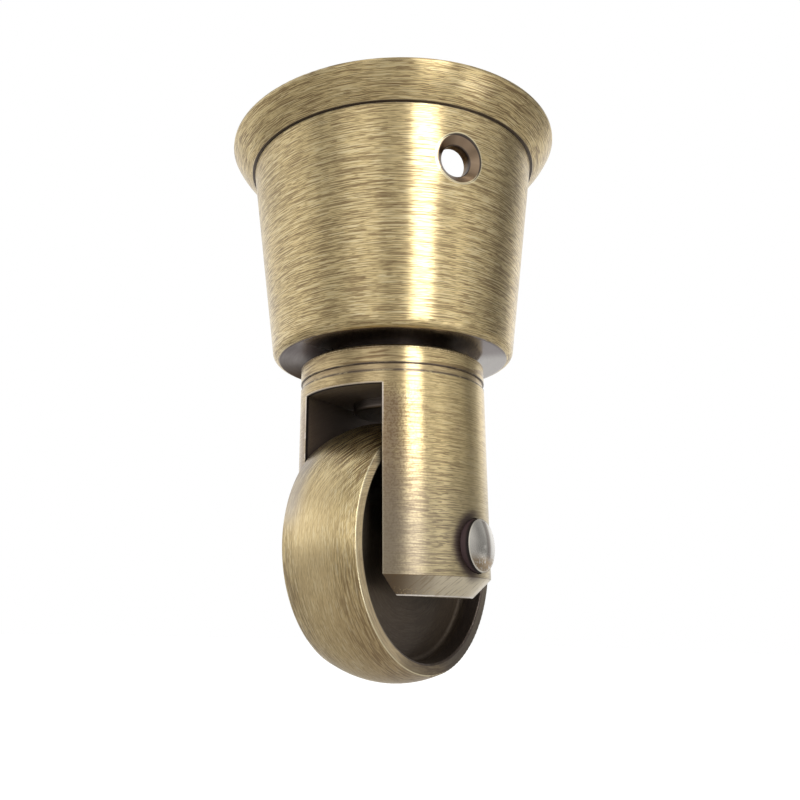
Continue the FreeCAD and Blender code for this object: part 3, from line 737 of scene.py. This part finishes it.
    def slot_lips(self, finish):
        """Painted highlights on the small chamfers beside and above the slot, broken into bits further
        down.
        """
        wires, away, z = finish.wires, finish.away, finish.z
        bits = wires.times(wires.band(finish.blotch, 0.52, 0.60),
                           wires.band(z, SLOT_ROOF - 14, SLOT_ROOF - 6))
        left_on = wires.calc("MAXIMUM", wires.band(z, SLOT_ROOF - 8, SLOT_ROOF - 1, 0.06, 1.0), bits)
        beside = wires.stripe(
            away, SLOT_SIDE + 0.03, SLOT_SIDE + 0.08, SLOT_SIDE + 0.24, SLOT_SIDE + 0.32)
        beside = wires.times(beside, wires.band(z, SLOT_ROOF + 0.2, SLOT_ROOF), left_on)
        above = wires.stripe(z, SLOT_ROOF + 0.03, SLOT_ROOF + 0.06, SLOT_ROOF + 0.20, SLOT_ROOF + 0.28)
        above = wires.times(above, wires.band(away, SLOT_SIDE + 0.2, SLOT_SIDE), 0.5)
        outside = wires.band(finish.radius, HORN_RADIUS - 0.25, HORN_RADIUS - 0.10)
        # Painted highlights along the slot's small chamfers.
        finish.tint(finish.colours.slot_lip, wires.calc("MAXIMUM", beside, above), outside, 0.65)

    def round_axle(self, finish):
        """A dark film round the axle's head with painted shade, faint on its right."""
        wires = finish.wires
        ring = wires.band(finish.far_from_line(*AXLE_LINE), AXLE_HEAD + 1.8, AXLE_HEAD + 0.6)
        # Dark film and painted shade round the axle's head, strongest on its left.
        finish.tint(finish.colours.patina_and_shade, ring, wires.band(finish.x, 2.0, -2.2, 0.22, 1.0), 0.88)


class CASTOR_OT_wheel(bpy.types.Operator):
    """Finish the wheel: tread brushed in coarse crossing strokes, smooth rims, dark dishes"""

    bl_idname = "castor.finish_wheel"
    bl_label = "Finish Wheel"

    def execute(self, context):
        finish = Finish("Wheel brass", context.scene.castor_colours)
        wires = finish.wires
        finish.rise = wires.calc("SUBTRACT", finish.z, AXLE_LEVEL)
        finish.away = wires.calc("ABSOLUTE", finish.y)
        finish.far = finish.far_from_line(*AXLE_LINE)
        self.strokes(finish)
        self.tread(finish)
        self.rim(finish)
        self.dish(finish)
        finish.shade(
            depth=0.02, strength=0.5, anisotropy=0.6, tangent=finish.round_tangent(*AXLE_LINE))
        finish.give("wheel")
        return {"FINISHED"}

    def strokes(self, finish):
        """Short strokes round the wheel, and longer ones that cross them, stronger at the top, with
        painted glints brightest there.
        """
        wires, colours = finish.wires, finish.colours
        upper = wires.band(finish.rise, 3, 12)
        place = finish.centred(AXLE_LINE[0], ALONG_AXLE)
        # The bright gaps, painted glints, grow brighter towards the top.
        finish.brush(
            place, length=1.3, width=0.125, waver=0.5, stain=0.25, long=wires.shift(upper, 0.16, 0.33),
            short=wires.shift(upper, 0.16, 0.38), glint=wires.shift(upper, 0.20, 0.60), rough=0.28)
        tilted = finish.centred(AXLE_LINE[0], (math.radians(69), math.radians(-19), 0.0))
        crossing = finish.brushed(tilted, length=1.7, width=0.105, waver=0.35)["Long"]
        finish.tint(colours.umber, wires.band(crossing, 0.535, 0.570), wires.shift(upper, 0.78, 0.15))
        # Painted glints along the crossing strokes, strongest at the top.
        finish.tint(colours.crossed, wires.band(crossing, 0.44, 0.40), wires.shift(upper, 0.8, 0.1))
        finish.streaks = finish.brushed(place, length=1.6, width=0.2, waver=0.2)["Long"]

    def tread(self, finish):
        """Painted light in the middle, brown painted shade low down, streaked beside the rim, a painted
        grey reflection high on the near side, and painted shade on the right shoulder.
        """
        wires, colours, rise, y = finish.wires, finish.colours, finish.rise, finish.y
        middle = wires.times(wires.stripe(y, -6, -1, 2, 6), wires.stripe(rise, -18, -4, 7, 14))
        # Painted light: brighter in the middle of the tread.
        finish.tint(colours.tread, middle, 0.40)
        # Painted shade: brown low on the tread.
        finish.tint(colours.brown, wires.band(rise, 2, -17), wires.band(y, 5, -6, 0.10, 0.62))
        beside_rim = wires.times(wires.band(finish.away, 1.5, 4.5), wires.band(rise, 4, -6))
        finish.tint(colours.umber, wires.band(finish.streaks, 0.52, 0.60), beside_rim, 0.55)
        # Painted reflection: grey high on the near side.
        high = wires.band(wires.distance(rise, 8), 8, 3)
        finish.tint(colours.greyed, wires.band(y, 1, 5), high, 0.65)
        # Painted shade on the right shoulder.
        shoulder = wires.times(wires.band(finish.away, 3.6, 4.6), wires.band(finish.x, 1, 6))
        finish.tint(colours.dark, shoulder, 0.75)

    def rim(self, finish):
        """Grey rim faces, gold on the left with painted shade at the foot, and a painted highlight along
        the outer edge.
        """
        wires, colours, x = finish.wires, finish.colours, finish.x
        face = wires.times(wires.band(finish.away, RIM_FACE - 0.30, RIM_FACE - 0.20),
                           wires.band(finish.far, RIM_EDGE + 0.03, RIM_EDGE - 0.03))
        gilt = wires.times(face, wires.band(x, 1, -8))
        finish.tint(colours.greyed, face, 0.45)
        finish.tint(colours.rim_gold, gilt, wires.band(finish.streaks, 0.38, 0.62, 0.95, 0.60))
        # Painted shade: near black at the foot of the rim's face.
        foot_shaded = wires.times(face, wires.band(x, -9.5, -5.5), wires.band(finish.rise, 2, -12))
        finish.tint(colours.rim_foot_shade, foot_shaded, 0.96)
        # Painted highlight along the rim's outer edge, on its left part.
        edge = wires.times(wires.band(finish.away, RIM_FACE - 0.36, RIM_FACE - 0.26),
                           wires.band(finish.far, RIM_EDGE - 0.03, RIM_EDGE + 0.03))
        finish.tint(colours.bright, edge, wires.band(x, 5, 1), 0.92)
        finish.roughen(foot_shaded, 0.12)
        finish.metal = wires.shift(gilt, -0.65, 1.0)
        finish.coat = wires.shift(foot_shaded, -0.3, 0.3)

    def dish(self, finish):
        """Dark and a little rougher inside the dishes."""
        dish = finish.wires.band(finish.far, DISH_RADIUS, DISH_RADIUS - 0.15)
        finish.tint(finish.colours.dark, dish, 0.9)
        finish.roughen(dish, 0.12)


class CASTOR_OT_axle(bpy.types.Operator):
    """Finish the axle: smooth greyed brass with a painted dark reflection band, brown specks, a painted
    highlight on its rim and painted shade on its side
    """

    bl_idname = "castor.finish_axle"
    bl_label = "Finish Axle"

    def execute(self, context):
        finish = Finish("Axle brass", context.scene.castor_colours)
        wires, colours, x = finish.wires, finish.colours, finish.x
        place = finish.centred(AXLE_LINE[0], ALONG_AXLE)
        strokes = finish.brushed(place, length=1.6, width=0.25, waver=1.0)
        clouded = wires.band(strokes["Cloud"], 0.4, 0.65)
        finish.tone = wires.blend(clouded, rgba(colours.disc), rgba(colours.disc_grey))
        rise = wires.calc("SUBTRACT", finish.z, AXLE_LEVEL)
        bowed = wires.calc("ADD", x, wires.times(rise, rise, 0.055))
        # Painted reflection: a greyer right part, and a dark band down the near head.
        finish.tint(colours.disc_right, wires.band(bowed, 1.6, 2.0), 0.8)
        band = wires.band(wires.distance(bowed, 1.25), 0.95, 0.25)
        finish.tint(colours.disc_band, band, wires.calc("LESS_THAN", finish.y, 0.0), 0.78)
        specks = wires.band(wires.noise(place, 2.9, 1.0), 0.34, 0.48)
        finish.tint(colours.disc_specks, specks, wires.band(rise, -0.9, -2.4), 0.85)
        far = finish.far_from_line(*AXLE_LINE)
        side = wires.band(far, AXLE_HEAD - 0.06, AXLE_HEAD - 0.02)
        # Painted highlight: a bright rim, strongest on the left.
        rim = wires.times(wires.band(far, AXLE_HEAD - 0.30, AXLE_HEAD - 0.23), wires.inverse(side))
        finish.tint(colours.disc_rim, rim, wires.band(x, 1.5, -1.0, 0.30, 1.0))
        # Painted shade: the head's side, near black, dark mauve next to the horn.
        front = wires.band(wires.calc("ABSOLUTE", finish.y), 14.45, 14.95)
        side_tone = wires.blend(front, rgba(colours.patina_and_shade), rgba(colours.disc_side))
        finish.tone = wires.blend(side, finish.tone, side_tone)
        finish.height = strokes["Short"]
        finish.rough = wires.shift(finish.height, 0.1, 0.14)
        finish.roughen(side, 0.40)
        finish.metal = wires.shift(side, -0.7, 1.0)
        finish.coat = wires.shift(side, -0.3, 0.3)
        finish.shade(depth=0.004, strength=0.1)
        finish.give("axle")
        return {"FINISHED"}


class CASTOR_OT_steel(bpy.types.Operator):
    """Finish the king pin and the washers: turned steel, dulled by oil, and painted darker as shade
    below the cup
    """

    bl_idname = "castor.finish_steel"
    bl_label = "Finish Steel"

    def execute(self, context):
        finish = Finish("Oiled steel", context.scene.castor_colours)
        wires, colours = finish.wires, finish.colours
        strokes = finish.brushed(finish.place, length=1.8, width=0.12, waver=0.3)
        in_cup = wires.band(finish.z, CUP_FOOT - 1, CUP_FOOT + 1)
        # Painted shade: the pin's head in the slot and the washer under the cup are darker.
        finish.tone = wires.blend(in_cup, rgba(colours.steel), rgba(colours.unshaded_steel))
        finish.tint(colours.umber, wires.band(strokes["Cloud"], 0.4, 0.65), 0.5)
        finish.tint(colours.dark, wires.band(strokes["Long"], 0.5, 0.7), 0.5)
        wear = finish.worn(edge_width=0.2, recess_width=1.0)
        finish.tint(colours.bright, wear["Edge"], 0.10)
        finish.height = strokes["Short"]
        finish.rough = wires.shift(finish.height, 0.15, 0.36)
        finish.shade(depth=0.01, strength=0.3)
        finish.give("king_pin", "king_pin_washer", "thrust_washer")
        return {"FINISHED"}


class CASTOR_OT_stage(bpy.types.Operator):
    """Set the camera, the lamps, the room and the floor"""

    bl_idname = "castor.set_stage"
    bl_label = "Set Stage"

    def execute(self, context):
        stage = context.scene.castor_stage
        context.scene.view_settings.view_transform = "Standard"
        self.camera(context, stage)
        self.room(context)
        self.lamp(context, "Key lamp", around(21, 18), distance=0.55, width=0.165, height=0.50,
                  power=stage.key_power)
        self.lamp(context, "Low lamp", around(52, -22), distance=0.38, width=0.12, height=0.10,
                  power=stage.low_power)
        self.floor(context, stage)
        return {"FINISHED"}

    def camera(self, context, stage):
        """The photograph's view."""
        data = bpy.data.cameras.new("Studio camera")
        data.lens = stage.lens
        data.sensor_width = 36
        data.shift_x, data.shift_y = stage.camera_shift
        data.clip_start, data.clip_end = 0.005, 20
        camera = bpy.data.objects.new("Studio camera", data)
        camera.location = stage.camera_place
        camera.rotation_euler = stage.camera_turn
        context.scene.collection.objects.link(camera)
        context.scene.camera = camera

    def room(self, context):
        """Seen white by the camera; lights the castor with panels that fade towards the ceiling."""
        world = bpy.data.worlds.new("Studio room")
        world.use_nodes = True
        world.node_tree.nodes.clear()
        wires = Wiring(world.node_tree)
        way = wires.node("ShaderNodeTexCoord").outputs["Generated"]
        panels = wires.node("ShaderNodeValToRGB")
        wires.feed(panels.inputs[0], wires.calc("MULTIPLY_ADD", wires.bearing(way), 1 / 360, 0.5))
        self.set_panels(panels.color_ramp)
        height = wires.split(way)[2]
        level = wires.band(height, -0.05, 0.20, 1.7, 2.3)
        fading = wires.band(height, 0.25, 0.60, 0.0, 0.8)
        light = wires.times(panels.outputs[0], wires.calc("SUBTRACT", level, fading))
        shine = wires.node("ShaderNodeBackground")
        wires.feed(shine.inputs["Color"], (1.0, 0.985, 0.96, 1))
        wires.feed(shine.inputs["Strength"], light)
        white = wires.node("ShaderNodeBackground")
        wires.feed(white.inputs["Color"], (1, 1, 1, 1))
        mix = wires.node("ShaderNodeMixShader")
        wires.feed(mix.inputs[0], wires.node("ShaderNodeLightPath").outputs["Is Camera Ray"])
        wires.feed(mix.inputs[1], shine.outputs[0])
        wires.feed(mix.inputs[2], white.outputs[0])
        wires.feed(wires.node("ShaderNodeOutputWorld").inputs["Surface"], mix.outputs[0])
        context.scene.world = world

    def set_panels(self, ramp):
        """A step of half its brightness for each panel, at its angle from -180 to 180 degrees."""
        while len(ramp.elements) > 1:
            ramp.elements.remove(ramp.elements[-1])
        ramp.interpolation = "EASE"
        ramp.elements[0].position = 0.0
        ramp.elements[0].color = (0.5, 0.5, 0.5, 1)
        for angle, brightness in ROOM:
            step = ramp.elements.new((angle + 180) / 360)
            step.color = rgba([brightness / 2] * 3)

    def lamp(self, context, name, direction, distance, width, height, power):
        """A soft lamp that faces the middle of the castor, with its sizes in metres."""
        data = bpy.data.lights.new(name, "AREA")
        data.shape = "RECTANGLE"
        data.size, data.size_y = width, height
        data.energy = power
        lamp = bpy.data.objects.new(name, data)
        middle = Vector((0, 0, (CUP_MOUTH + HORN_FOOT) / 2 * MM))
        lamp.location = middle + direction * distance
        lamp.rotation_euler = (-direction).to_track_quat("-Z", "Y").to_euler()
        lamp.visible_camera = False
        context.scene.collection.objects.link(lamp)

    def floor(self, context, stage):
        """A pale floor below the held castor."""
        mesh = bpy.data.meshes.new("Floor")
        shape = bmesh.new()
        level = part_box("wheel")[0].z - stage.floor_drop
        bmesh.ops.create_circle(shape, cap_ends=True, segments=96, radius=FLOOR_RADIUS)
        bmesh.ops.translate(shape, verts=shape.verts, vec=(0, 0, level))
        shape.to_mesh(mesh)
        shape.free()
        floor = bpy.data.objects.new("Floor", mesh)
        context.scene.collection.objects.link(floor)
        mesh.materials.append(self.floor_finish(stage))

    def floor_finish(self, stage):
        """Matt and pale, lifted to white for the camera, and behind the castor for its metal."""
        material = bpy.data.materials.new("Pale floor")
        material.use_nodes = True
        material.node_tree.nodes.clear()
        wires = Wiring(material.node_tree)
        matt = wires.node("ShaderNodeBsdfDiffuse")
        wires.feed(matt.inputs["Color"], rgba(stage.floor_colour))
        seen_by = wires.node("ShaderNodeLightPath").outputs
        place = wires.node("ShaderNodeTexCoord").outputs["Object"]
        behind = wires.band(wires.vector("DOT_PRODUCT", place, around(180)), 0.20, 0.60)
        mirrored = wires.times(seen_by["Is Glossy Ray"], behind)
        lift = wires.node("ShaderNodeEmission")
        straight_on = wires.times(seen_by["Is Camera Ray"], CAMERA_LIFT)
        wires.feed(lift.inputs["Strength"], wires.shift(mirrored, MIRROR_LIFT, straight_on))
        both = wires.node("ShaderNodeAddShader")
        wires.feed(both.inputs[0], matt.outputs[0])
        wires.feed(both.inputs[1], lift.outputs[0])
        wires.feed(wires.node("ShaderNodeOutputMaterial").inputs["Surface"], both.outputs[0])
        return material


class CASTOR_PT_sidebar(bpy.types.Panel):
    """Castor finishes and stage in the sidebar"""

    bl_idname = "CASTOR_PT_sidebar"
    bl_label = "Brass Cup Castor"
    bl_space_type = "VIEW_3D"
    bl_region_type = "UI"
    bl_category = "Castor"

    def draw(self, context):
        layout = self.layout
        for settings in (context.scene.castor_colours, context.scene.castor_stage):
            box = layout.box()
            for name in settings.__annotations__:
                box.prop(settings, name)
        for step in STEPS:
            layout.operator(step.bl_idname)


STEPS = (
    CASTOR_OT_cup, CASTOR_OT_horn, CASTOR_OT_wheel, CASTOR_OT_axle, CASTOR_OT_steel, CASTOR_OT_stage,
)
CLASSES = (CastorColours, CastorStage, *STEPS, CASTOR_PT_sidebar)


def register():
    """Makes the settings, the operators and the panel known to Blender."""
    for item in CLASSES:
        bpy.utils.register_class(item)
    bpy.types.Scene.castor_colours = bpy.props.PointerProperty(type=CastorColours)
    bpy.types.Scene.castor_stage = bpy.props.PointerProperty(type=CastorStage)


def unregister():
    """Takes them away again."""
    del bpy.types.Scene.castor_stage
    del bpy.types.Scene.castor_colours
    for item in reversed(CLASSES):
        bpy.utils.unregister_class(item)


def main():
    """Finishes every piece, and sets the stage."""
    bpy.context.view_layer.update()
    register()
    bpy.ops.castor.finish_cup()
    bpy.ops.castor.finish_horn()
    bpy.ops.castor.finish_wheel()
    bpy.ops.castor.finish_axle()
    bpy.ops.castor.finish_steel()
    bpy.ops.castor.set_stage()


if __name__ == "__main__":
    main()
